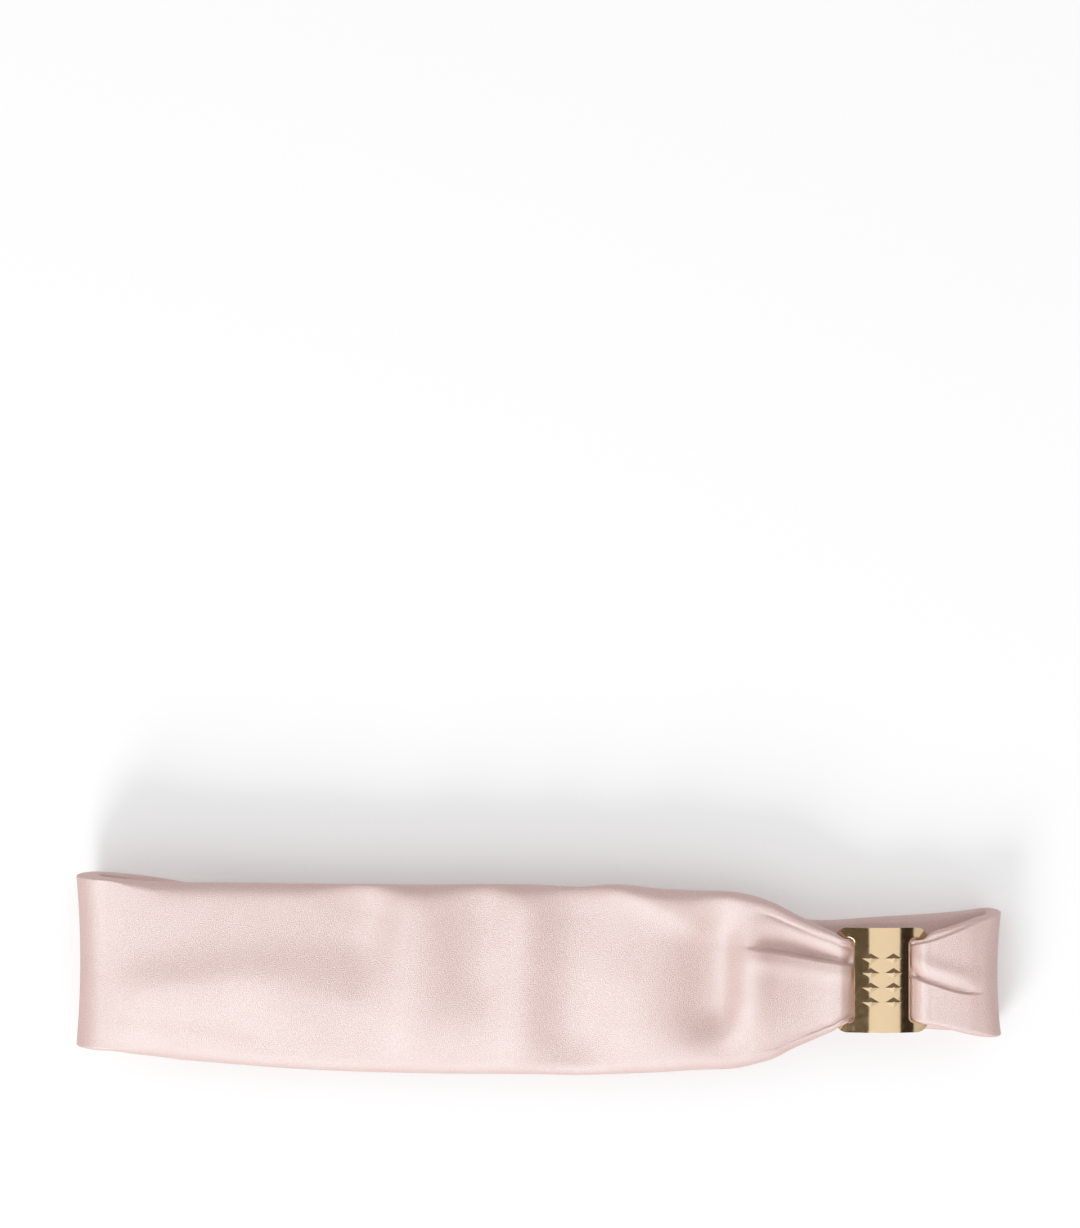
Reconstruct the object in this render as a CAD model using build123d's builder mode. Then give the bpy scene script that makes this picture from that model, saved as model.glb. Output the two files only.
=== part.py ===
"""Satin headband: a closed loop lying flat, its wide padded front gathered through a gilt
slider, and a narrow elastic section at the back. Millimetres, +Z up, +X along the band.
The loop rests on its rear layer, and the origin is at the bottom centre of the whole."""

import os
from math import cos, radians, sin
from typing import NamedTuple

from build123d import *

# Whole loop
HALF_LENGTH = 120.0
WALL = 0.5  # satin with its fusible interfacing
PAD_PLAY = 0.15  # between the padding and the satin round it

# Left and right turns of the loop: the radii of their centre lines, and the band there
LEFT_TURN_DEPTH = 6.2
LEFT_TURN_RISE = 7.0
LEFT_THICK = 6.0
LEFT_X = -(HALF_LENGTH - LEFT_TURN_DEPTH - LEFT_THICK / 2)
RIGHT_TURN = 5.1
RIGHT_THICK = 3.6
RIGHT_X = HALF_LENGTH - RIGHT_TURN - RIGHT_THICK / 2
TURN_STEPS = 6  # sections round each turn

# Rear casing and elastic
CASING_HALF = 54.0
CASING_WIDTH = 27.0
CASING_THICK = 4.0
TONGUE = 6.0  # how far the casing runs into the wide tube's hemmed ends
TONGUE_WIDTH = 25.4
TONGUE_THICK = 2.4
ELASTIC_WIDTH = 24.0
ELASTIC_THICK = 1.0
ELASTIC_PLAY = 0.2  # between the elastic and the casing round it
ELASTIC_END = 1.0  # how far the elastic comes out of the casing's ends
ELASTIC_HALF = CASING_HALF + TONGUE + ELASTIC_END
HEM = 8.0  # length of each hem, over which the tube keeps its section
HEM_WIDTH = 28.0
PAD_GAP = 3.0  # between the elastic and the padding's end
PAD_END = ELASTIC_HALF + PAD_GAP

# Stitches over the hems
STITCH_LENGTH = 2.0
STITCH_RADIUS = 0.22
STITCH_PITCH = 2.9
STITCHES = 8
STITCH_INSET = 2.4  # from the hem's edge
STITCH_LIFT = 0.02  # clear of the satin

# Slider: a curved plate with two slots
SLIDER_X = 89.0
SLIDER_Y = -1.6
SLIDER_CREST = 15.6
SLIDER_WIDTH = 24.4
SLIDER_DEPTH = 27.3
SLIDER_THICK = 1.2
SLIDER_RADIUS = 28.0
SLIDER_CORNER = 3.2
SLOT_LENGTH = 21.3
SLOT_WIDTH = 2.2
SLOT_CORNER = 1.05
SLOT_ROUND = 0.6  # rounding of the slots' upper edges
BAR_HALF = 7.4  # centre bar, between the slots
EDGE_ROUND = 0.3

# Relief on the centre bar: lozenges in two columns
LOZENGE_WIDTH = 5.6
LOZENGE_DEPTH = 3.7
LOZENGE_HEIGHT = 0.6
LOZENGE_SINK = 0.27  # how deep its foot sits in the bar
LOZENGE_SLOPE = 57.0  # degrees from upright
LOZENGE_ROWS = 4
COLUMN_PITCH = 5.9
ROW_PITCH = 3.8

# Satin threaded through the slots
THREADED_WIDTH = 20.2
THREADED_THICK = 1.0
THREADED_HALF = 12.6
OVER_BAR = -0.9  # its centre line below the crest, over a side bar
UNDER_BAR = -3.1  # just inside the centre bar's edge
UNDER_MIDDLE = -2.1
DIVE_START = 9.75  # from the slider's middle to where it turns down into a slot
DIVE_END = 7.3
DIVE_RADIUS = 0.9
BAR_RADIUS = 6.0

os.makedirs("parts", exist_ok=True)


class Station(NamedTuple):
    """A cross-section of the flattened band: its centre, heading, width and thickness."""

    x: float
    y: float
    z: float
    heading: float  # degrees from +X towards +Z
    width: float
    thick: float


def section_plane(s):
    """The plane across the band at a station, with its local x along +Y."""
    angle = radians(s.heading)
    return Plane(origin=(s.x, s.y, s.z), x_dir=(0, 1, 0), z_dir=(cos(angle), 0, sin(angle)))


def turn(centre_x, centre_z, depth, rise, side, ends, thick):
    """Stations of a half turn from the front layer down to the rear one.

    side is -1 at the left end and 1 at the right. ends holds the (y, width) of the band
    at the top, middle and bottom of the turn."""
    stations = []
    for i in range(TURN_STEPS + 1):
        share = i / TURN_STEPS
        angle = radians(90 - 180 * share)
        first, second = (ends[0], ends[1]) if share < 0.5 else (ends[1], ends[2])
        part = 2 * share if share < 0.5 else 2 * share - 1
        y, width = (a + (b - a) * part for a, b in zip(first, second))
        tangent = Vector(side * depth * sin(angle), 0, -rise * cos(angle))
        heading = Vector(1, 0, 0).get_signed_angle(tangent, Vector(0, -1, 0))
        x = centre_x + side * depth * cos(angle)
        z = centre_z + rise * sin(angle)
        stations.append(Station(x, y, z, heading, width, thick))
    return stations


def band(stations, wall):
    """A flattened tube through the stations; with a wall it is hollow and open at its ends."""
    with BuildPart() as tube:
        for s in stations:
            with BuildSketch(section_plane(s)):
                SlotOverall(s.width, s.thick)
        loft()
        if wall:
            for s in stations:
                with BuildSketch(section_plane(s)):
                    SlotOverall(s.width - 2 * wall, s.thick - 2 * wall)
            loft(mode=Mode.SUBTRACT)
    return tube


def shrink(stations, amount):
    """The same stations with the section smaller all round."""
    return [s._replace(width=s.width - 2 * amount, thick=s.thick - 2 * amount) for s in stations]


def save(name, part):
    """Labels a finished piece and writes its STEP file."""
    part.label = name
    export_step(part, f"parts/{name}.step")


# Stations along the loop: the front layer from left to right, then the two layers behind it.
front = [
    Station(LEFT_X, 3.3, LEFT_THICK / 2 + 2 * LEFT_TURN_RISE, 0, 45.2, LEFT_THICK),
    Station(-86, 0.9, 16.3, 0, 46.8, 6.8),
    Station(-48, -0.8, 15.9, 0, 48.8, 7.2),
    Station(0, -1.4, 15.4, 0, 49.6, 7.2),
    Station(34, -1.7, 15.0, 0, 48.0, 6.8),
    Station(57, -1.6, 14.6, 0, 43.4, 6.0),
]
gather_left = [
    front[-1],
    Station(66, SLIDER_Y, 14.5, 0, 34.0, 4.4),
    Station(SLIDER_X - THREADED_HALF, SLIDER_Y, SLIDER_CREST + OVER_BAR, 0, THREADED_WIDTH, THREADED_THICK),
]
gather_right = [
    Station(SLIDER_X + THREADED_HALF, SLIDER_Y, SLIDER_CREST + OVER_BAR, 0, THREADED_WIDTH, THREADED_THICK),
    Station(107.4, -0.9, 13.4, 0, 26.6, 2.8),
    Station(RIGHT_X, -0.2, RIGHT_THICK / 2 + 2 * RIGHT_TURN, 0, 31.6, RIGHT_THICK),
]
left_turn = turn(
    LEFT_X,
    LEFT_THICK / 2 + LEFT_TURN_RISE,
    LEFT_TURN_DEPTH,
    LEFT_TURN_RISE,
    -1,
    [(3.3, 45.2), (3.6, 45.3), (3.4, 45.0)],
    LEFT_THICK,
)
right_turn = turn(
    RIGHT_X,
    RIGHT_THICK / 2 + RIGHT_TURN,
    RIGHT_TURN,
    RIGHT_TURN,
    1,
    [(-0.2, 31.6), (-0.15, 32.7), (-0.2, 32.2)],
    RIGHT_THICK,
)
left_taper = [
    Station(LEFT_X, 3.4, LEFT_THICK / 2, 0, 45.0, LEFT_THICK),
    Station(-94, 3.2, 2.7, 0, 41.0, 5.4),
    Station(-76, 1.2, 2.2, 0, 33.0, 4.4),
    Station(-CASING_HALF - HEM, 0, CASING_THICK / 2, 0, HEM_WIDTH, CASING_THICK),
    Station(-CASING_HALF, 0, CASING_THICK / 2, 0, HEM_WIDTH, CASING_THICK),
]
right_tail = [
    Station(CASING_HALF, 0, CASING_THICK / 2, 0, HEM_WIDTH, CASING_THICK),
    Station(CASING_HALF + HEM, 0, CASING_THICK / 2, 0, HEM_WIDTH, CASING_THICK),
    Station(74, -0.5, 1.9, 0, 27.8, 3.8),
    Station(88, -0.1, 1.8, 0, 29.0, RIGHT_THICK),
    Station(RIGHT_X, -0.2, RIGHT_THICK / 2, 0, 32.2, RIGHT_THICK),
]

# The wide satin tube, from its hem behind the left turn to its hem behind the right one
front_cover = band(front, WALL)
save("front_cover", front_cover.part)
left_turn_cover = band(left_turn, WALL)
save("left_turn_cover", left_turn_cover.part)
left_taper_cover = band(left_taper, WALL)
save("left_taper_cover", left_taper_cover.part)
left_gather = band(gather_left, None)
save("left_gather", left_gather.part)
right_gather = band(gather_right, None)
save("right_gather", right_gather.part)
right_turn_cover = band(right_turn, WALL)
save("right_turn_cover", right_turn_cover.part)
right_tail_cover = band(right_tail, WALL)
save("right_tail_cover", right_tail_cover.part)

# One strip of padding: the front, the left turn and the start of the taper
front_padding = band(shrink(front, WALL + PAD_PLAY), None)
turn_padding = band(shrink(left_turn, WALL + PAD_PLAY), None)
with BuildPart() as taper_padding:
    add(band(shrink(left_taper, WALL + PAD_PLAY), None).part)
    split(bisect_by=Plane.YZ.offset(-PAD_END), keep=Keep.BOTTOM)
with BuildPart() as padding:
    for length in (front_padding, turn_padding, taper_padding):
        add(length.part)
save("padding", padding.part)

# Rear casing: a flat tube whose narrower ends run into the hemmed ends of the wide tube
with BuildPart() as rear_casing:
    with BuildSketch(Plane.YZ.offset(-CASING_HALF)):
        with Locations((0, CASING_THICK / 2)):
            SlotOverall(CASING_WIDTH, CASING_THICK)
    extrude(amount=2 * CASING_HALF)
    with BuildSketch(Plane.YZ.offset(-CASING_HALF - TONGUE)):
        with Locations((0, CASING_THICK / 2)):
            SlotOverall(TONGUE_WIDTH, TONGUE_THICK)
    extrude(amount=2 * (CASING_HALF + TONGUE))
    with BuildSketch(Plane.YZ.offset(-CASING_HALF + WALL)):
        with Locations((0, CASING_THICK / 2)):
            SlotOverall(CASING_WIDTH - 2 * WALL, CASING_THICK - 2 * WALL)
    extrude(amount=2 * (CASING_HALF - WALL), mode=Mode.SUBTRACT)
    with BuildSketch(Plane.YZ.offset(-CASING_HALF - TONGUE)):
        with Locations((0, CASING_THICK / 2)):
            Rectangle(ELASTIC_WIDTH + 2 * ELASTIC_PLAY, ELASTIC_THICK + 2 * ELASTIC_PLAY)
    extrude(amount=2 * (CASING_HALF + TONGUE), mode=Mode.SUBTRACT)
save("rear_casing", rear_casing.part)

with BuildPart() as rear_elastic:
    with Locations((0, 0, CASING_THICK / 2)):
        Box(2 * ELASTIC_HALF, ELASTIC_WIDTH, ELASTIC_THICK)
    long_edges = rear_elastic.edges().filter_by(Axis.X)
    chamfer(long_edges, ELASTIC_THICK / 4)
save("rear_elastic", rear_elastic.part)


def hem_stitches(x):
    """A row of stitches across the band, standing on the top of a hem at x."""
    with BuildPart() as row:
        with BuildSketch(Plane.XY.offset(CASING_THICK + STITCH_LIFT)):
            with Locations((x, 0)):
                with GridLocations(0, STITCH_PITCH, 1, STITCHES):
                    SlotOverall(STITCH_LENGTH, 2 * STITCH_RADIUS, rotation=90)
        extrude(amount=STITCH_RADIUS)
    return row


left_stitches = hem_stitches(-CASING_HALF - STITCH_INSET)
save("left_hem_stitches", left_stitches.part)
right_stitches = hem_stitches(CASING_HALF + STITCH_INSET)
save("right_hem_stitches", right_stitches.part)


def cylinder_shell(outer, inner):
    """The slice of a cylinder shell about Y that the slider's curved pieces are cut from."""
    with BuildPart() as shell:
        with BuildSketch(Plane.XZ.offset(-SLIDER_Y - SLIDER_DEPTH / 2)):
            with Locations((SLIDER_X, SLIDER_CREST - SLIDER_RADIUS)):
                Circle(outer)
                Circle(inner, mode=Mode.SUBTRACT)
            with Locations((SLIDER_X, SLIDER_CREST)):
                Rectangle(SLIDER_WIDTH, SLIDER_RADIUS, mode=Mode.INTERSECT)
        extrude(amount=SLIDER_DEPTH)
    return shell.part


# Slider: a curved plate with rounded corners and two slots, and the lozenge relief on it
with BuildPart() as slider_plate:
    add(cylinder_shell(SLIDER_RADIUS, SLIDER_RADIUS - SLIDER_THICK))
    with BuildSketch(Plane.XY):
        with Locations((SLIDER_X, SLIDER_Y)):
            RectangleRounded(SLIDER_WIDTH, SLIDER_DEPTH, SLIDER_CORNER)
            with GridLocations(2 * BAR_HALF + SLOT_WIDTH, 0, 2, 1):
                RectangleRounded(SLOT_WIDTH, SLOT_LENGTH, SLOT_CORNER, mode=Mode.SUBTRACT)
    extrude(amount=2 * SLIDER_CREST, mode=Mode.INTERSECT)
    crown = slider_plate.faces().filter_by(GeomType.CYLINDER).sort_by(SortBy.AREA)[-1]
    fillet(crown.outer_wire().edges(), EDGE_ROUND)
    crown = slider_plate.faces().filter_by(GeomType.CYLINDER).sort_by(SortBy.AREA)[-1]
    fillet(crown.inner_wires().edges(), SLOT_ROUND)


def lozenge_column(side):
    """A column of lozenges with sloping sides, square to the bar, on one side of its middle."""
    tilt = side * COLUMN_PITCH / 2 / SLIDER_RADIUS
    outward = Vector(sin(tilt), 0, cos(tilt))
    middle = Vector(SLIDER_X, SLIDER_Y, SLIDER_CREST - SLIDER_RADIUS)
    foot = middle + outward * (SLIDER_RADIUS - LOZENGE_SINK)
    with BuildPart() as column:
        with BuildSketch(Plane(origin=foot, x_dir=(cos(tilt), 0, -sin(tilt)), z_dir=outward)):
            with GridLocations(0, ROW_PITCH, 1, LOZENGE_ROWS):
                Polygon(
                    (-LOZENGE_WIDTH / 2, 0),
                    (0, -LOZENGE_DEPTH / 2),
                    (LOZENGE_WIDTH / 2, 0),
                    (0, LOZENGE_DEPTH / 2),
                )
        extrude(amount=LOZENGE_HEIGHT + LOZENGE_SINK, taper=LOZENGE_SLOPE)
    return column.part


relief_columns = [lozenge_column(side) for side in (-1, 1)]
with BuildPart() as slider:
    add(slider_plate.part)
    add(relief_columns)
save("slider", slider.part)

# Satin threaded over the side bars and under the centre bar
route = [
    (-THREADED_HALF, OVER_BAR),
    (-DIVE_START, OVER_BAR),
    (-DIVE_END, UNDER_BAR),
    (0, UNDER_MIDDLE),
    (DIVE_END, UNDER_BAR),
    (DIVE_START, OVER_BAR),
    (THREADED_HALF, OVER_BAR),
]
with BuildPart() as threaded_satin:
    with BuildSketch(Plane.XZ.offset(-SLIDER_Y - THREADED_WIDTH / 2)):
        with BuildLine():
            FilletPolyline(
                *[(SLIDER_X + x, SLIDER_CREST + z) for x, z in route],
                radius=(DIVE_RADIUS, DIVE_RADIUS, BAR_RADIUS, DIVE_RADIUS, DIVE_RADIUS),
            )
        trace(line_width=THREADED_THICK)
    extrude(amount=THREADED_WIDTH)
save("threaded_satin", threaded_satin.part)
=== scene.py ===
"""Satin headband with a gilt slider: its looks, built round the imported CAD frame.

The satin is one tube, laid out as a grid of rows along the loop and columns round the
flattened section. It is cut into three pieces where the slider and its joint need it.
Shapes are written in millimetres, and each mesh is turned into metres when it is made."""

import math
from typing import NamedTuple

import bpy
import numpy as np
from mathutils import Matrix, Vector


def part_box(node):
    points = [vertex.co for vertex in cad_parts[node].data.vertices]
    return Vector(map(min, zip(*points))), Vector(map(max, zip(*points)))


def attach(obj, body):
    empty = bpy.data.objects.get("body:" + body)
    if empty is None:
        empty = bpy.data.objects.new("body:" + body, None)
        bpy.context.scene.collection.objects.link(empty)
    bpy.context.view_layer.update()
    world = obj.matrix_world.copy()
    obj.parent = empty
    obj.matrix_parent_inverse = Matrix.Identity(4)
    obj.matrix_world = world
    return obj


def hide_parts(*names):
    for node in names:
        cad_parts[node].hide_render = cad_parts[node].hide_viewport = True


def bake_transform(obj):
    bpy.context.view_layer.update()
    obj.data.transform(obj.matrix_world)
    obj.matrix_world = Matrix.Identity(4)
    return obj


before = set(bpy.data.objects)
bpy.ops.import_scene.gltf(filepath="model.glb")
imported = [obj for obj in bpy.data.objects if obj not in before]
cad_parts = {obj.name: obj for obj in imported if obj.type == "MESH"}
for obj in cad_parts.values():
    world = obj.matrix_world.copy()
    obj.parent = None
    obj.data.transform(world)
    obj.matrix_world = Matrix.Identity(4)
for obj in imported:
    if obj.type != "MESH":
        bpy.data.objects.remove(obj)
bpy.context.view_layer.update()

MM = 0.001
CLOTH = 0.45  # thickness of the satin where it shows at a hem


# ---------------------------------------------------------------- places taken from the frame

def box_mm(node):
    """The lowest and highest corner of a CAD node, in millimetres."""
    low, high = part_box(node)
    return np.array(low) / MM, np.array(high) / MM


slider_low, slider_high = box_mm("slider")
SLIDER_X = (slider_low[0] + slider_high[0]) / 2
TONGUE = 6.0  # how far the casing runs into each hem
HEM_X = box_mm("rear_casing")[1][0] - TONGUE
HEM_LENGTH = 8.0
LEFT_FOLD_X = box_mm("left_turn_cover")[1][0]
RIGHT_FOLD_X = box_mm("right_turn_cover")[0][0]
GATHER_X = box_mm("left_gather")[0][0]


# ---------------------------------------------------------------- smooth curves and steps

def smooth(knots, x):
    """Values at x on a smooth curve through (x, value) knots, level beyond both ends."""
    kx, ky = (np.array(column, float) for column in zip(*knots))
    slope = np.gradient(ky, kx)
    x = np.asarray(x, float)
    i = np.clip(np.searchsorted(kx, x) - 1, 0, len(kx) - 2)
    span = kx[i + 1] - kx[i]
    u = np.clip((x - kx[i]) / span, 0, 1)
    rise = u * u * (3 - 2 * u)
    start_slope = span * slope[i] * u * (1 - u) ** 2
    end_slope = span * slope[i + 1] * u * u * (1 - u)
    return ky[i] * (1 - rise) + ky[i + 1] * rise + start_slope - end_slope


def step(x, start, end):
    """0 before start, 1 after end, and smooth between."""
    u = np.clip((x - start) / (end - start), 0, 1)
    return u * u * (3 - 2 * u)


def hump(x, middle, width):
    """A soft bump of height 1, as wide as `width` on each side of its middle."""
    return np.exp(-(((x - middle) / width) ** 2))


# ---------------------------------------------------------------- the tube's cross-sections

class Station(NamedTuple):
    """A cross-section of the flattened tube."""

    x: float
    z: float
    top: float  # y of its +Y edge
    bottom: float  # y of its -Y edge
    thick: float
    edge: float  # how far in from each edge its rounding reaches
    crown: float = 0.0  # extra half thickness in the middle of the face


def fold(centre_x, side, depth, heights, tops, bottoms, thick, edge, squareness, crown):
    """Stations round a fold, from its first height to its second one."""
    count = 7
    start_z, end_z = heights
    middle_z, half_z = (start_z + end_z) / 2, (start_z - end_z) / 2
    stations = []
    for i in range(count + 1):
        share = i / count
        angle = math.radians(90 - 180 * share)
        out = abs(math.cos(angle)) ** (2 / squareness)
        up = math.copysign(abs(math.sin(angle)) ** (2 / squareness), math.sin(angle))
        blend = 4 * share * (1 - share)
        top = tops[0] + (tops[2] - tops[0]) * share
        bottom = bottoms[0] + (bottoms[2] - bottoms[0]) * share
        top += (tops[1] - (tops[0] + tops[2]) / 2) * blend
        bottom += (bottoms[1] - (bottoms[0] + bottoms[2]) / 2) * blend
        stations.append(
            Station(
                centre_x + side * depth * out,
                middle_z + half_z * up,
                top,
                bottom,
                thick,
                edge,
                crown,
            )
        )
    return stations


REAR_LEFT = [
    Station(-HEM_X, 2.0, 14.0, -14.0, 3.8, 1.9),
    Station(-HEM_X - HEM_LENGTH, 2.0, 14.0, -14.0, 3.8, 1.9),
    Station(-70, 2.1, 15.9, -14.9, 3.8, 2.0, 0.1),
    Station(-80, 2.3, 19.3, -16.1, 4.2, 2.2, 0.1),
    Station(-91, 2.6, 22.7, -17.5, 4.8, 2.6, 0.1),
    Station(-102, 2.9, 24.7, -18.7, 5.2, 3.0, 0.2),
]
LEFT_FOLD = fold(
    LEFT_FOLD_X, -1, 6.9, (3.0, 17.0), (25.7, 26.2, 25.2), (-19.1, -19.3, -19.8), 5.4, 0.9, 2.7, 0.1
)
FRONT = [
    Station(-105.5, 16.95, 24.7, -20.6, 5.6, 2.2, 0.4),
    Station(-100, 16.85, 24.3, -21.2, 5.7, 3.2, 0.5),
    Station(-94, 16.7, 24.1, -22.0, 5.7, 3.6, 0.6),
    Station(-83, 16.4, 24.0, -23.0, 5.8, 3.6, 0.6),
    Station(-62, 16.1, 23.7, -24.6, 5.8, 3.6, 0.7),
    Station(-31, 15.8, 23.4, -25.7, 5.8, 3.6, 0.8),
    Station(0, 15.5, 23.3, -26.0, 5.8, 3.6, 0.8),
    Station(10, 15.4, 22.8, -26.2, 5.8, 3.6, 0.8),
    Station(20.5, 15.3, 23.4, -25.9, 5.8, 3.6, 0.8),
    Station(31, 15.2, 22.3, -25.5, 5.8, 3.6, 0.8),
    Station(41, 15.0, 21.8, -24.9, 5.6, 3.6, 0.7),
    Station(52, 14.9, 21.2, -24.3, 5.6, 3.4, 0.7),
    Station(GATHER_X, 14.9, 20.0, -23.1, 5.5, 3.2, 0.7),
    Station(61.2, 14.7, 18.4, -21.8, 5.1, 2.8, 0.6),
    Station(65.4, 14.45, 16.2, -19.6, 4.5, 2.4, 0.5),
    Station(69.6, 14.3, 14.1, -17.8, 3.8, 2.0, 0.3),
    Station(73.7, 14.45, 12.2, -16.0, 3.0, 1.6, 0.2),
    Station(77, 14.85, 10.7, -14.4, 2.3, 1.2, 0.1),
]
THREADED = [
    Station(SLIDER_X - 10.6, 14.95, 9.7, -13.3, 1.9, 1.0),
    Station(SLIDER_X - 9.5, 14.45, 9.2, -12.8, 1.4, 0.7),
    Station(SLIDER_X - 8.5, 13.5, 8.8, -12.2, 1.1, 0.5),
    Station(SLIDER_X - 7.4, 12.75, 8.6, -11.9, 1.0, 0.5),
    Station(SLIDER_X - 4, 12.85, 8.5, -11.7, 1.0, 0.5),
    Station(SLIDER_X, 13.2, 8.5, -11.7, 1.0, 0.5),
    Station(SLIDER_X + 4, 12.85, 8.5, -11.7, 1.0, 0.5),
    Station(SLIDER_X + 7.4, 12.75, 8.6, -11.9, 1.0, 0.5),
    Station(SLIDER_X + 8.5, 13.5, 8.7, -12.2, 1.1, 0.5),
    Station(SLIDER_X + 9.5, 14.45, 8.8, -12.5, 1.4, 0.7),
    Station(SLIDER_X + 10.6, 14.95, 9.1, -12.9, 1.9, 1.0),
]
FLARE = [
    Station(102, 14.9, 10.9, -13.3, 2.4, 1.2, 0.1),
    Station(105.4, 14.5, 12.0, -14.1, 2.8, 1.3, 0.2),
    Station(109.2, 13.9, 13.1, -15.2, 3.2, 1.4, 0.2),
    Station(113.2, 12.9, 14.5, -16.2, 3.4, 1.5, 0.2),
]
RIGHT_FOLD = fold(
    RIGHT_FOLD_X, 1, 5.3, (12.4, 1.8), (13.8, 16.4, 15.9), (-16.2, -17.0, -16.3), 3.4, 0.8, 2.5, 0.1
)[2:]  # its first two stations would crowd the flare's last one
REAR_RIGHT = [
    Station(104, 1.8, 15.0, -15.6, 3.6, 1.8),
    Station(88, 1.8, 14.0, -14.8, 3.6, 1.8),
    Station(74, 1.9, 13.2, -14.4, 3.7, 1.8),
    Station(HEM_X + HEM_LENGTH, 2.0, 14.0, -14.0, 3.8, 1.9),
    Station(HEM_X, 2.0, 14.0, -14.0, 3.8, 1.9),
]
TUBE = REAR_LEFT + LEFT_FOLD + FRONT + THREADED + FLARE + RIGHT_FOLD + REAR_RIGHT


# ---------------------------------------------------------------- relief of the outer face

def ridge(x, y, start, end, left, right, height, fade):
    """A soft fold along a line; left and right are its widths on each side of that line."""
    (ax, ay), (bx, by) = start, end
    length = math.hypot(bx - ax, by - ay)
    ux, uy = (bx - ax) / length, (by - ay) / length
    along = (x - ax) * ux + (y - ay) * uy
    across = (y - ay) * ux - (x - ax) * uy
    width = np.where(across > 0, left, right)
    ends = step(along, -fade, fade) * (1 - step(along, length - fade, length + fade))
    return height * np.exp(-((across / width) ** 2)) * ends


FRONT_FOLDS = [
    # start, end, width to its left, width to its right, height, fade
    ((-108, -5), (-64, -1), 8, 12, 1.9, 11),
    ((-48, 0), (-42, 24), 13, 8, -2.4, 9),
    ((-34, 24), (-34, -18), 10, 7, 1.5, 8),
    ((-14, 23), (-16, -8), 6, 9, -1.4, 9),
    ((-4, 24), (-6, -20), 7, 6, 1.0, 8),
    ((10, 22), (8, -22), 12, 9, -1.7, 8),
    ((19, 25), (43, 12), 6, 4, 1.0, 5),
    ((22, 4), (23, -20), 9, 8, 0.7, 7),
    ((47, 15), (46, -16), 5, 10, -3.0, 8),
    ((54.5, 9), (54.5, -12), 6, 5, 1.3, 7),
    ((53, -13), (35, -23), 4.5, 6, 1.0, 8),
    ((-114, -13), (-76, -18), 3, 4, 0.35, 7),
    ((-100, 24.5), (45, 22), 2.5, 3.2, -0.45, 8),
]


def front_relief(x, y):
    """Folds of the padded front, and a slow unevenness."""
    relief = sum(ridge(x, y, *spec) for spec in FRONT_FOLDS)
    slow = 0.12 * np.sin(x / 9.1 + 0.8) * np.sin(y / 7.3 + x / 31)
    return relief + slow + 0.06 * np.sin(x / 4.7 - y / 6.1)


def crease(d, depth, lip, spread):
    """A pinched crease: a sharp step down on its + side, which eases back up."""
    return -depth * step(d, 0, lip) * np.exp(-((np.maximum(d, 0) / spread) ** 1.5))


def left_gather_relief(x, y, mid, half):
    """Pleats that run from the left slot into the padded front."""
    d = y - (mid + 0.36 * half)
    depth = smooth([(54, 1.0), (60, 2.7), (74, 3.0), (80, 1.8)], x)
    valley = smooth([(54, 5.4), (66, 4.4), (80, 2.2)], x)
    main = crease(d, depth, 0.9, valley) + 0.3 * hump(d, 6.4, 2.8) + 0.5 * hump(d, -2.6, 2.2)
    top_line = crease(mid + 0.84 * half - y, 0.6, 0.4, 1.0)
    low_line = crease(y - (mid - 0.88 * half), 0.5, 0.4, 1.0)
    return step(x, 51, 60) * main + step(x, 55, 63) * (top_line + low_line)


def right_flare_relief(x, y, mid, half):
    """Pleats that run from the right slot to the right fold."""
    line = smooth([(96, -0.4), (102, -2.8), (110.4, -5.2), (118, -5.2)], x)
    d = y - line
    fade = 1 - step(x, 108, 117)
    main = crease(d, 1.3, 0.45, 2.6) + 0.6 * hump(d, 4.2, 2.6)
    edge_line = smooth([(96, 7.0), (102.8, 8.9), (109, 11.3), (113, 13.0)], x)
    roll = crease(y - edge_line, 0.7, 0.4, 1.2)
    return fade * main + (1 - step(x, 109, 114)) * roll


# ---------------------------------------------------------------- the grid

FACE_COLUMNS = 100
EDGE_COLUMNS = 14
BACK_COLUMNS = 50


def section_columns():
    """For each column: its place across the flat face from 1 to -1, and its edge angle."""
    across, lift = [], []
    for i in range(FACE_COLUMNS):
        across.append(1 - 2 * i / (FACE_COLUMNS - 1))
        lift.append(90.0)
    for i in range(1, EDGE_COLUMNS):
        across.append(-1.0)
        lift.append(90 - 180 * i / EDGE_COLUMNS)
    for i in range(BACK_COLUMNS):
        across.append(-1 + 2 * i / (BACK_COLUMNS - 1))
        lift.append(-90.0)
    for i in range(1, EDGE_COLUMNS):
        across.append(1.0)
        lift.append(-90 + 180 * i / EDGE_COLUMNS)
    return np.array(across), np.radians(lift)


ACROSS, LIFT = section_columns()


class Rows(NamedTuple):
    """The tube's rows: one value of each station field for each row, and the row's frame."""

    s: np.ndarray
    x: np.ndarray
    z: np.ndarray
    top: np.ndarray
    bottom: np.ndarray
    thick: np.ndarray
    edge: np.ndarray
    crown: np.ndarray
    out_x: np.ndarray
    out_z: np.ndarray


def station_lengths(stations):
    """Distance along the stations' centre line, at each station."""
    points = np.array([(s.x, s.z) for s in stations])
    return np.concatenate([[0], np.cumsum(np.linalg.norm(np.diff(points, axis=0), axis=1))])


LINE_SAMPLES = 6000
FINE_FROM = (40, 56)  # x over which the rows come closer together
FINE_HEIGHTS = (7, 10)  # and the heights, as only the front needs it
TANGENT_REACH = 0.4


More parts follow.
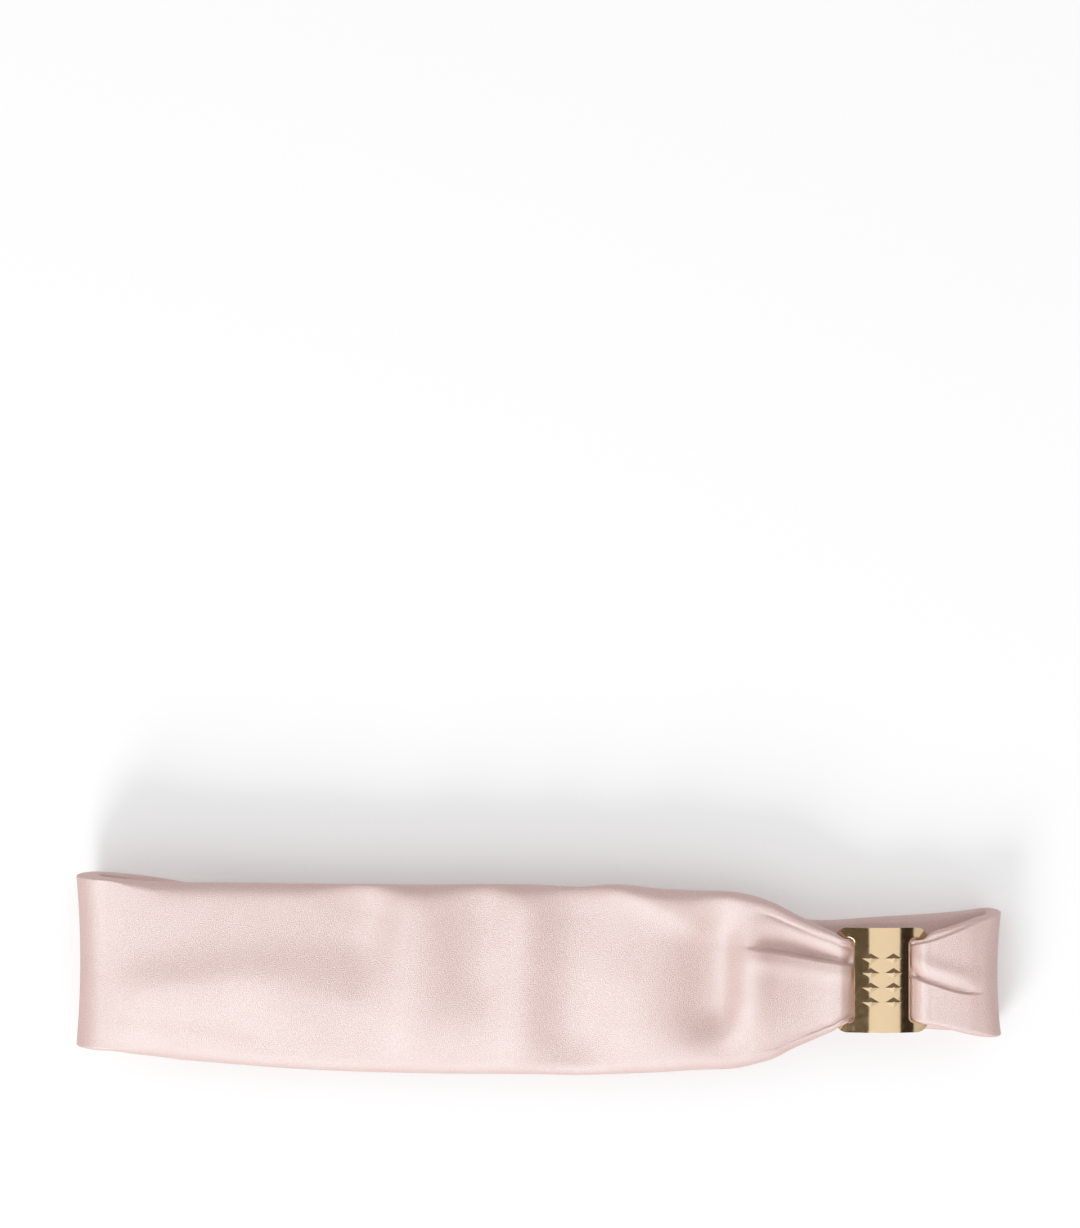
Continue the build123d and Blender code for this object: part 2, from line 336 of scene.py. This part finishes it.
def lay_rows(stations, coarse, fine):
    """Rows along the stations, `coarse` apart on the plain lengths and `fine` near the slider."""
    at = station_lengths(stations)
    dense = np.linspace(0, at[-1], LINE_SAMPLES)
    x = smooth(list(zip(at, [s.x for s in stations])), dense)
    z = smooth(list(zip(at, [s.z for s in stations])), dense)
    near = step(x, *FINE_FROM) * step(z, *FINE_HEIGHTS)
    spacing = coarse + (fine - coarse) * near
    count = np.concatenate([[0], np.cumsum(np.diff(dense) / spacing[1:])])
    whole = int(count[-1])
    s = np.interp(np.arange(whole + 1) / whole * count[-1], count, dense)
    fields = [smooth(list(zip(at, column)), s) for column in zip(*stations)]
    ahead, behind = np.minimum(s + TANGENT_REACH, at[-1]), np.maximum(s - TANGENT_REACH, 0)
    tangent_x = np.interp(ahead, dense, x) - np.interp(behind, dense, x)
    tangent_z = np.interp(ahead, dense, z) - np.interp(behind, dense, z)
    length = np.hypot(tangent_x, tangent_z)
    return Rows(s, *fields, -tangent_z / length, tangent_x / length)


LAYERS_PART = (11, 14)  # heights between which the front's relief comes in
LEFT_EDGE = (-117, -104)  # where the front's folds come in from the left
FRONT_ENDS = (60, 76)  # where they give way to the pleats
SLOT_REACH = (7, 9)  # from the slider's middle, where the pleats start
LEFT_ROLL = (-109, -116)  # where the tube's face turns hollow, towards the left fold
RIGHT_ROLL = (115, 119)  # and towards the right one
ROLL_HEIGHTS = (3, 8)
ROLL_DEPTH = 1.1
INNER_PLEATS = 0.7  # the pleats' depth on the inner face, against the outer one


def tube_points(rows, inset=0.0):
    """The grid of points, rows by columns, on the tube or `inset` inside it."""
    mid = ((rows.top + rows.bottom) / 2)[:, None]
    half = ((rows.top - rows.bottom) / 2)[:, None] - inset
    thick = rows.thick[:, None] / 2 - inset
    edge = np.maximum(rows.edge[:, None] - inset, 0.2)
    rounding = np.where(np.abs(ACROSS) == 1, edge * np.cos(LIFT), 0)
    y = mid + ACROSS * (half - edge) + np.sign(ACROSS) * rounding
    outer = np.maximum(np.sin(LIFT), 0)
    inner = np.maximum(-np.sin(LIFT), 0)
    crown = rows.crown[:, None] * (1 - ACROSS**2)
    x = rows.x[:, None] + 0 * y
    on_front = step(rows.z, *LAYERS_PART)[:, None]
    front = on_front * step(x, *LEFT_EDGE) * (1 - step(x, *FRONT_ENDS))
    relief = front * front_relief(x, y)
    left = on_front * step(SLIDER_X - x, *SLOT_REACH)
    pleats = left * left_gather_relief(x, y, mid, half)
    right = on_front * step(x - SLIDER_X, *SLOT_REACH)
    pleats = pleats + right * right_flare_relief(x, y, mid, half)
    turned = (step(x, *LEFT_ROLL) + step(x, *RIGHT_ROLL)) * step(rows.z, *ROLL_HEIGHTS)[:, None]
    relief = relief + ROLL_DEPTH * turned * (ACROSS**2 - 0.5)
    out = (thick + crown) * np.sin(LIFT) + relief * outer + pleats * (outer + INNER_PLEATS * inner)
    out = out + 0.05 * inner * np.sin(x / 5.3) * np.sin(y / 6.1 + 1)
    z = np.maximum(rows.z[:, None] + rows.out_z[:, None] * out, inset)
    return np.stack([x + rows.out_x[:, None] * out, y, z], axis=2)


CASING_ROWS = 420
CASING_HALF = 13.2
CASING_THICK = 1.7  # from its middle to its face
CASING_EDGE = 1.2
TONGUE_WIDER = 0.28  # at each edge, where the casing fills the hem
TONGUE_THINNER = 0.29
RUFFLE = 0.25


def ruched_casing():
    """The grid of the rear casing, which its elastic gathers into ruffles, and its lengths."""
    low, high = box_mm("rear_casing")
    x = np.linspace(low[0], high[0], CASING_ROWS)[:, None]
    tongue = step(np.abs(x), HEM_X - 0.6, HEM_X + 0.4)
    ruffled = RUFFLE * (1 - tongue)
    half = CASING_HALF + TONGUE_WIDER * tongue + ruffled * np.sin(x * 1.9 + 0.7 * np.sin(x / 3.1))
    thick = CASING_THICK - TONGUE_THINNER * tongue
    rounding = np.where(np.abs(ACROSS) == 1, ACROSS * CASING_EDGE * np.cos(LIFT), 0)
    y = ACROSS * (half - CASING_EDGE) + rounding
    wander = 0.9 * np.sin(y / 4.3 + x / 9) + 0.7 * np.sin(y / 2.6 - x / 13)
    ruffle = 0.6 * np.sin(x * 1.9 + wander) + 0.4 * np.sin(x * 1.15 - 1.3 * wander)
    out = (thick + ruffled * ruffle) * np.sin(LIFT)
    return np.stack([x + 0 * y, y, high[2] / 2 + out], axis=2), x[:, 0]


def grid_normals(points):
    """Smooth normals of a grid that closes round its columns."""
    along = np.gradient(points, axis=0)
    wrapped = np.concatenate([points[:, -1:], points, points[:, :1]], axis=1)
    across = wrapped[:, 2:] - wrapped[:, :-2]
    normal = np.cross(across, along)
    return normal / np.maximum(np.linalg.norm(normal, axis=2, keepdims=True), 1e-9)


def grid_mesh(name, points, normals, s, closed_ends=False):
    """A mesh from grid points in millimetres, with its cloth's own lengths as its UV map."""
    rows, columns = points.shape[:2]
    i, j = np.meshgrid(np.arange(rows - 1), np.arange(columns), indexing="ij")
    following = (j + 1) % columns
    here, ahead = i * columns, (i + 1) * columns
    quads = np.stack([here + j, here + following, ahead + following, ahead + j], axis=-1).reshape(-1, 4)
    faces = quads.tolist()
    if closed_ends:
        faces.append(list(reversed(range(columns))))
        faces.append([(rows - 1) * columns + k for k in range(columns)])
    mesh = bpy.data.meshes.new(name)
    mesh.from_pydata((points.reshape(-1, 3) * MM).tolist(), [], faces)
    mesh.shade_smooth()
    loop = np.concatenate([points, points[:, :1]], axis=1)
    girth = np.linalg.norm(np.diff(loop, axis=1), axis=2)
    around = np.concatenate([np.zeros((rows, 1)), np.cumsum(girth, axis=1)], axis=1)
    uv = np.zeros((len(mesh.loops), 2), np.float32)
    flat_i, flat_j = i.ravel(), j.ravel()
    for corner, (di, dj) in enumerate([(0, 0), (0, 1), (1, 1), (1, 0)]):
        at = np.arange(len(quads)) * 4 + corner
        uv[at, 0] = s[flat_i + di] / 10
        uv[at, 1] = around[flat_i + di, flat_j + dj] / 10
    layer = mesh.uv_layers.new(name="cloth")
    layer.data.foreach_set("uv", uv.ravel())
    if normals is not None:
        mesh.normals_split_custom_set_from_vertices(normals.reshape(-1, 3).tolist())
    obj = bpy.data.objects.new(name, mesh)
    bpy.context.scene.collection.objects.link(obj)
    return obj


def with_hems(points, s, lining, depth):
    """The grid with `depth` rows of its lining turned in at both ends, and its lengths."""
    first, last = lining[:depth][::-1], lining[-depth:][::-1]
    s_first = 2 * s[0] - CLOTH - s[:depth][::-1]
    s_last = 2 * s[-1] + CLOTH - s[-depth:][::-1]
    return np.concatenate([first, points, last]), np.concatenate([s_first, s, s_last])


# ---------------------------------------------------------------- materials

def new_material(name):
    """A new material, with its node tree and its Principled shader."""
    material = bpy.data.materials.new(name)
    material.use_nodes = True
    tree = material.node_tree
    shader = tree.nodes["Principled BSDF"]
    return material, tree, shader


def node(tree, kind, **values):
    """A node with its settings and its inputs' values."""
    made = tree.nodes.new(kind)
    for key, value in values.items():
        if key in made.inputs:
            made.inputs[key].default_value = value
        else:
            setattr(made, key, value)
    return made


def stretched(tree, scale):
    """Coordinates along and across the cloth, scaled."""
    place = tree.nodes.new("ShaderNodeUVMap")
    place.uv_map = "cloth"
    mapping = tree.nodes.new("ShaderNodeMapping")
    mapping.inputs["Scale"].default_value = scale
    tree.links.new(place.outputs["UV"], mapping.inputs["Vector"])
    return mapping.outputs["Vector"]


def object_place(tree, scale):
    """Coordinates in the object's own space, scaled."""
    place = tree.nodes.new("ShaderNodeTexCoord")
    mapping = tree.nodes.new("ShaderNodeMapping")
    mapping.inputs["Scale"].default_value = scale
    tree.links.new(place.outputs["Object"], mapping.inputs["Vector"])
    return mapping.outputs["Vector"]


def mixed_colour(tree, factor, dark, light):
    """A colour between dark and light, by a factor from 0 to 1."""
    mix = node(tree, "ShaderNodeMix", data_type="RGBA")
    mix.inputs["A"].default_value = (*dark, 1)
    mix.inputs["B"].default_value = (*light, 1)
    tree.links.new(factor, mix.inputs["Factor"])
    return mix.outputs["Result"]


def add_bump(tree, shader, height, distance):
    """Raises the surface by a height from 0 to 1, times a distance in metres."""
    bump = node(tree, "ShaderNodeBump", Strength=1.0, Distance=distance)
    tree.links.new(height, bump.inputs["Height"])
    tree.links.new(bump.outputs["Normal"], shader.inputs["Normal"])


def wadding_material():
    """Soft off-white polyester wadding: matted fibres and small clumps."""
    material, tree, shader = new_material("wadding")
    shader.inputs["Roughness"].default_value = 0.95
    shader.inputs["Sheen Weight"].default_value = 0.3
    fibres = node(tree, "ShaderNodeTexNoise", Scale=9.0, Detail=6.0, Roughness=0.75, Distortion=1.5)
    tree.links.new(stretched(tree, (1.0, 2.2, 1.0)), fibres.inputs["Vector"])
    colour = mixed_colour(tree, fibres.outputs["Fac"], (0.74, 0.72, 0.69), (0.90, 0.89, 0.87))
    tree.links.new(colour, shader.inputs["Base Color"])
    add_bump(tree, shader, fibres.outputs["Fac"], 0.0008)
    return material


def elastic_material():
    """White knitted elastic: fine ribs along its length, crossed by rows of knit."""
    material, tree, shader = new_material("knitted_elastic")
    shader.inputs["Roughness"].default_value = 0.75
    place = object_place(tree, (1.0, 1.0, 1.0))
    ribs = node(tree, "ShaderNodeTexWave", Scale=420.0, bands_direction="Y")
    rows_of_knit = node(tree, "ShaderNodeTexWave", Scale=700.0, Distortion=0.6, bands_direction="X")
    knit = node(tree, "ShaderNodeMath", operation="MULTIPLY_ADD")
    knit.inputs[1].default_value = 0.35
    for wave in (ribs, rows_of_knit):
        tree.links.new(place, wave.inputs["Vector"])
    tree.links.new(rows_of_knit.outputs["Fac"], knit.inputs[0])
    tree.links.new(ribs.outputs["Fac"], knit.inputs[2])
    colour = mixed_colour(tree, ribs.outputs["Fac"], (0.66, 0.64, 0.62), (0.86, 0.84, 0.82))
    tree.links.new(colour, shader.inputs["Base Color"])
    add_bump(tree, shader, knit.outputs["Value"], 0.00015)
    return material


def thread_material():
    """Pink sewing thread: a tight diagonal twist."""
    material, tree, shader = new_material("sewing_thread")
    shader.inputs["Roughness"].default_value = 0.5
    shader.inputs["Sheen Weight"].default_value = 0.2
    twist = node(tree, "ShaderNodeTexWave", Scale=900.0, bands_direction="DIAGONAL")
    tree.links.new(object_place(tree, (1.0, 1.0, 1.0)), twist.inputs["Vector"])
    colour = mixed_colour(tree, twist.outputs["Fac"], (0.60, 0.40, 0.37), (0.80, 0.60, 0.57))
    tree.links.new(colour, shader.inputs["Base Color"])
    add_bump(tree, shader, twist.outputs["Fac"], 0.00008)
    return material


def satin_material():
    """Pale pink satin: a broad soft sheen, a fine grain of floats and slow colour shifts."""
    material, tree, shader = new_material("pink_satin")
    links = tree.links
    shader.inputs["Roughness"].default_value = 0.33
    shader.inputs["Metallic"].default_value = 0.15
    shader.inputs["IOR"].default_value = 2.0
    shader.inputs["Specular IOR Level"].default_value = 1.0
    shader.inputs["Sheen Weight"].default_value = 0.05
    shader.inputs["Sheen Roughness"].default_value = 0.4
    shader.inputs["Sheen Tint"].default_value = (1.0, 0.86, 0.84, 1)
    slow = node(tree, "ShaderNodeTexNoise", Scale=1.1, Detail=2.0)
    links.new(stretched(tree, (1.0, 1.0, 1.0)), slow.inputs["Vector"])
    tint = mixed_colour(tree, slow.outputs["Fac"], (0.61, 0.41, 0.38), (0.665, 0.46, 0.43))
    floats = node(tree, "ShaderNodeTexNoise", Scale=30.0, Detail=2.0, Roughness=0.7)
    links.new(stretched(tree, (1.0, 1.4, 1.0)), floats.inputs["Vector"])
    grain = node(tree, "ShaderNodeMapRange")
    grain.inputs["From Min"].default_value = 0.3
    grain.inputs["From Max"].default_value = 0.7
    links.new(floats.outputs["Fac"], grain.inputs["Value"])
    speckle = node(tree, "ShaderNodeMix", data_type="RGBA", blend_type="OVERLAY")
    speckle.inputs["Factor"].default_value = 0.28
    links.new(tint, speckle.inputs["A"])
    links.new(grain.outputs["Result"], speckle.inputs["B"])
    links.new(speckle.outputs["Result"], shader.inputs["Base Color"])
    add_bump(tree, shader, grain.outputs["Result"], 0.00007)
    return material


def gold_material():
    """Polished gilt metal with faint polishing marks."""
    material, tree, shader = new_material("gilt_metal")
    links = tree.links
    shader.inputs["Base Color"].default_value = (0.67, 0.505, 0.32, 1)
    shader.inputs["Metallic"].default_value = 1.0
    place = tree.nodes.new("ShaderNodeTexCoord")
    marks = node(tree, "ShaderNodeTexNoise", Scale=900.0, Detail=3.0)
    links.new(place.outputs["Object"], marks.inputs["Vector"])
    polish = node(tree, "ShaderNodeMapRange")
    polish.inputs["To Min"].default_value = 0.05
    polish.inputs["To Max"].default_value = 0.14
    links.new(marks.outputs["Fac"], polish.inputs["Value"])
    links.new(polish.outputs["Result"], shader.inputs["Roughness"])
    add_bump(tree, shader, marks.outputs["Fac"], 0.000003)
    return material


def dress(obj, material):
    """Gives an object one material."""
    obj.data.materials.clear()
    obj.data.materials.append(material)
    return obj


# ---------------------------------------------------------------- the pieces

satin = satin_material()
gold = gold_material()

HEM_ROWS = 8
COARSE_ROWS = 1.1  # spacing of the rows
FINE_ROWS = 0.5
PAD_INSET = 0.9

rows = lay_rows(TUBE, COARSE_ROWS, FINE_ROWS)
points, lengths = with_hems(tube_points(rows), rows.s, tube_points(rows, CLOTH), HEM_ROWS)
normals = grid_normals(points)


def row_at(x, layer):
    """The number of the row nearest x on the rear layer (0) or the front one (1)."""
    return int(np.argmin(np.abs(rows.x - x) + 1000 * ((rows.z > 9) != layer)))


def satin_piece(name, first, last):
    """The part of the tube from one row of the grid to another."""
    part = slice(first, last)
    return grid_mesh(name, points[part], normals[part], lengths[part])


slider_row = row_at(SLIDER_X, 1) + HEM_ROWS
tail_row = row_at(RIGHT_FOLD_X - 0.6, 0) + HEM_ROWS
satin_front = satin_piece("satin_front", 0, slider_row + 1)
satin_right = satin_piece("satin_right", slider_row, tail_row + 1)
satin_tail = satin_piece("satin_tail", tail_row, None)
for piece in (satin_front, satin_right, satin_tail):
    dress(piece, satin)

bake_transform(satin_front)
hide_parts("front_cover", "left_turn_cover", "left_taper_cover", "left_gather")
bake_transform(satin_right)
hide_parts("threaded_satin", "right_gather", "right_turn_cover")
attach(satin_tail, "band")
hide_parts("right_tail_cover")

pad_rows = slice(row_at(-HEM_X - HEM_LENGTH, 0), row_at(GATHER_X, 1) + 1)
pad_points = tube_points(rows, PAD_INSET)[pad_rows]
padding = grid_mesh("padding_strip", pad_points, None, rows.s[pad_rows], True)
dress(padding, wadding_material())
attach(padding, "band")
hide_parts("padding")

casing_points, casing_lengths = ruched_casing()
casing = grid_mesh("ruched_casing", casing_points, None, casing_lengths)
dress(casing, satin)
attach(casing, "band")
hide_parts("rear_casing")

dress(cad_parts["slider"], gold)
dress(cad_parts["rear_elastic"], elastic_material())
thread = thread_material()
for name in ("left_hem_stitches", "right_hem_stitches"):
    dress(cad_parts[name], thread)


# ---------------------------------------------------------------- floor, light and camera

WHITE_LEVEL = 1.18  # the light that shows as pure white
CAMERA_HEIGHT = 1.2
VIEW_WIDTH = 0.2808  # what the camera takes in, level with the front layer
VIEW_LEVEL = 0.0158
VIEW_CENTRE_Y = 0.0937
SENSOR_WIDTH = 36.0

SKY_LEVEL = 0.955
FLOOR_SHADE = 0.94
FLOOR_EXTENT = (-4.0, 4.0, -4.0, 4.0)  # left, right, near, far
CARD_HEIGHT = 6.0
SHOULDER = [(0.3, 0.3), (0.6, 0.6), (0.8, 0.78), (0.95, 0.88), (1.08, 0.955)]  # light, shown
OVERHEAD_CARDS = [
    # name, tilts from overhead along x and along y in degrees, level
    # narrow cards over the slider: they make the bands in its curved metal
    ("strip_left", (-84, -10), (-9, 9), (0.10, 0.08, 0.05)),
    ("strip_middle", (-10, 24), (-9, 9), (1.22, 1.2, 1.2)),
    ("strip_right", (24, 39), (-9, 9), (0.04, 0.03, 0.02)),
    # wide cards for the satin: bright on the key light's side, and dark behind
    ("near_side", (-55, 14), (-36, -9), (4.7, 4.7, 4.7)),
    ("near_left", (-84, -55), (-58, -9), (0.25, 0.22, 0.21)),
    ("near_right", (14, 84), (-58, -9), (0.25, 0.2, 0.19)),
    ("far_middle", (-40, 10), (9, 24), (1.4, 1.4, 1.4)),
    ("far_side", (-84, 84), (26, 84), (0.25, 0.22, 0.21)),
]


def level_corners(left, right, near, far, height):
    """The corners of a level rectangle."""
    return [(left, near, height), (right, near, height), (right, far, height), (left, far, height)]


def make_floor():
    """A plain pale floor."""
    mesh = bpy.data.meshes.new("floor")
    mesh.from_pydata(level_corners(*FLOOR_EXTENT, 0), [], [(0, 1, 2, 3)])
    floor = bpy.data.objects.new("floor", mesh)
    bpy.context.scene.collection.objects.link(floor)
    material, _, shader = new_material("floor_paint")
    shader.inputs["Base Color"].default_value = (FLOOR_SHADE, FLOOR_SHADE, FLOOR_SHADE, 1)
    shader.inputs["Roughness"].default_value = 0.9
    shader.inputs["Specular IOR Level"].default_value = 0.0
    dress(floor, material)
    floor.visible_glossy = False


def area_light(name, location, size, power):
    """A soft light that looks at the middle of the object."""
    lamp = bpy.data.lights.new(name, "AREA")
    lamp.shape = "RECTANGLE"
    lamp.size, lamp.size_y = size
    lamp.energy = power
    obj = bpy.data.objects.new(name, lamp)
    obj.location = location
    obj.rotation_euler = (-Vector(location)).to_track_quat("-Z", "Y").to_euler()
    bpy.context.scene.collection.objects.link(obj)
    return obj


def card(name, corners, level):
    """A plain glowing card that is seen only in reflections."""
    mesh = bpy.data.meshes.new(name)
    mesh.from_pydata(corners, [], [(0, 1, 2, 3)])
    made = bpy.data.objects.new(name, mesh)
    bpy.context.scene.collection.objects.link(made)
    material, _, shader = new_material(name)
    shader.inputs["Base Color"].default_value = (0, 0, 0, 1)
    shader.inputs["Roughness"].default_value = 1.0
    shader.inputs["Specular IOR Level"].default_value = 0.0
    shader.inputs["Emission Color"].default_value = (*level, 1)
    shader.inputs["Emission Strength"].default_value = 1.0
    dress(made, material)
    made.visible_camera = False
    made.visible_diffuse = False
    made.visible_shadow = False
    made.visible_transmission = False


def overhead_card(name, tilts_x, tilts_y, level):
    """A card high above the slider, between tilts from overhead."""
    left, right = (SLIDER_X * MM + CARD_HEIGHT * math.tan(math.radians(tilt)) for tilt in tilts_x)
    near, far = (CARD_HEIGHT * math.tan(math.radians(tilt)) for tilt in tilts_y)
    card(name, level_corners(left, right, near, far, CARD_HEIGHT), level)


def make_world(level):
    """An even white sky."""
    world = bpy.data.worlds.new("studio")
    world.use_nodes = True
    world.node_tree.nodes["Background"].inputs["Color"].default_value = (1, 1, 1, 1)
    world.node_tree.nodes["Background"].inputs["Strength"].default_value = level
    bpy.context.scene.world = world


def film_response():
    """A plain display transform with a soft shoulder, so that highlights lose their colour."""
    view = bpy.context.scene.view_settings
    view.view_transform = "Standard"
    view.use_curve_mapping = True
    mapping = view.curve_mapping
    mapping.white_level = (WHITE_LEVEL,) * 3
    curve = mapping.curves[3]
    for light, shown in SHOULDER:
        curve.points.new(light / WHITE_LEVEL, shown)
    mapping.update()


def make_camera():
    """Straight down on the object, with the object low in the picture."""
    camera = bpy.data.cameras.new("camera")
    camera.sensor_fit = "HORIZONTAL"
    camera.sensor_width = SENSOR_WIDTH
    camera.lens = SENSOR_WIDTH * (CAMERA_HEIGHT - VIEW_LEVEL) / VIEW_WIDTH
    camera.clip_end = 20
    obj = bpy.data.objects.new("camera", camera)
    obj.location = (0, VIEW_CENTRE_Y, CAMERA_HEIGHT)
    bpy.context.scene.collection.objects.link(obj)
    bpy.context.scene.camera = obj


film_response()
make_floor()
make_world(SKY_LEVEL)
key = area_light("key", (-0.42, -0.95, 0.54), (0.50, 0.46), 12.0)
key.visible_glossy = False
key_corners = [(-2.2, -3.4, 0.7), (0.6, -3.4, 0.7), (0.6, -3.0, 3.0), (-2.2, -3.0, 3.0)]
card("key_glow", key_corners, (1.4, 1.4, 1.4))
card("ground_glow", level_corners(*FLOOR_EXTENT, -0.002), (0.5, 0.45, 0.44))
for overhead in OVERHEAD_CARDS:
    overhead_card(*overhead)
make_camera()
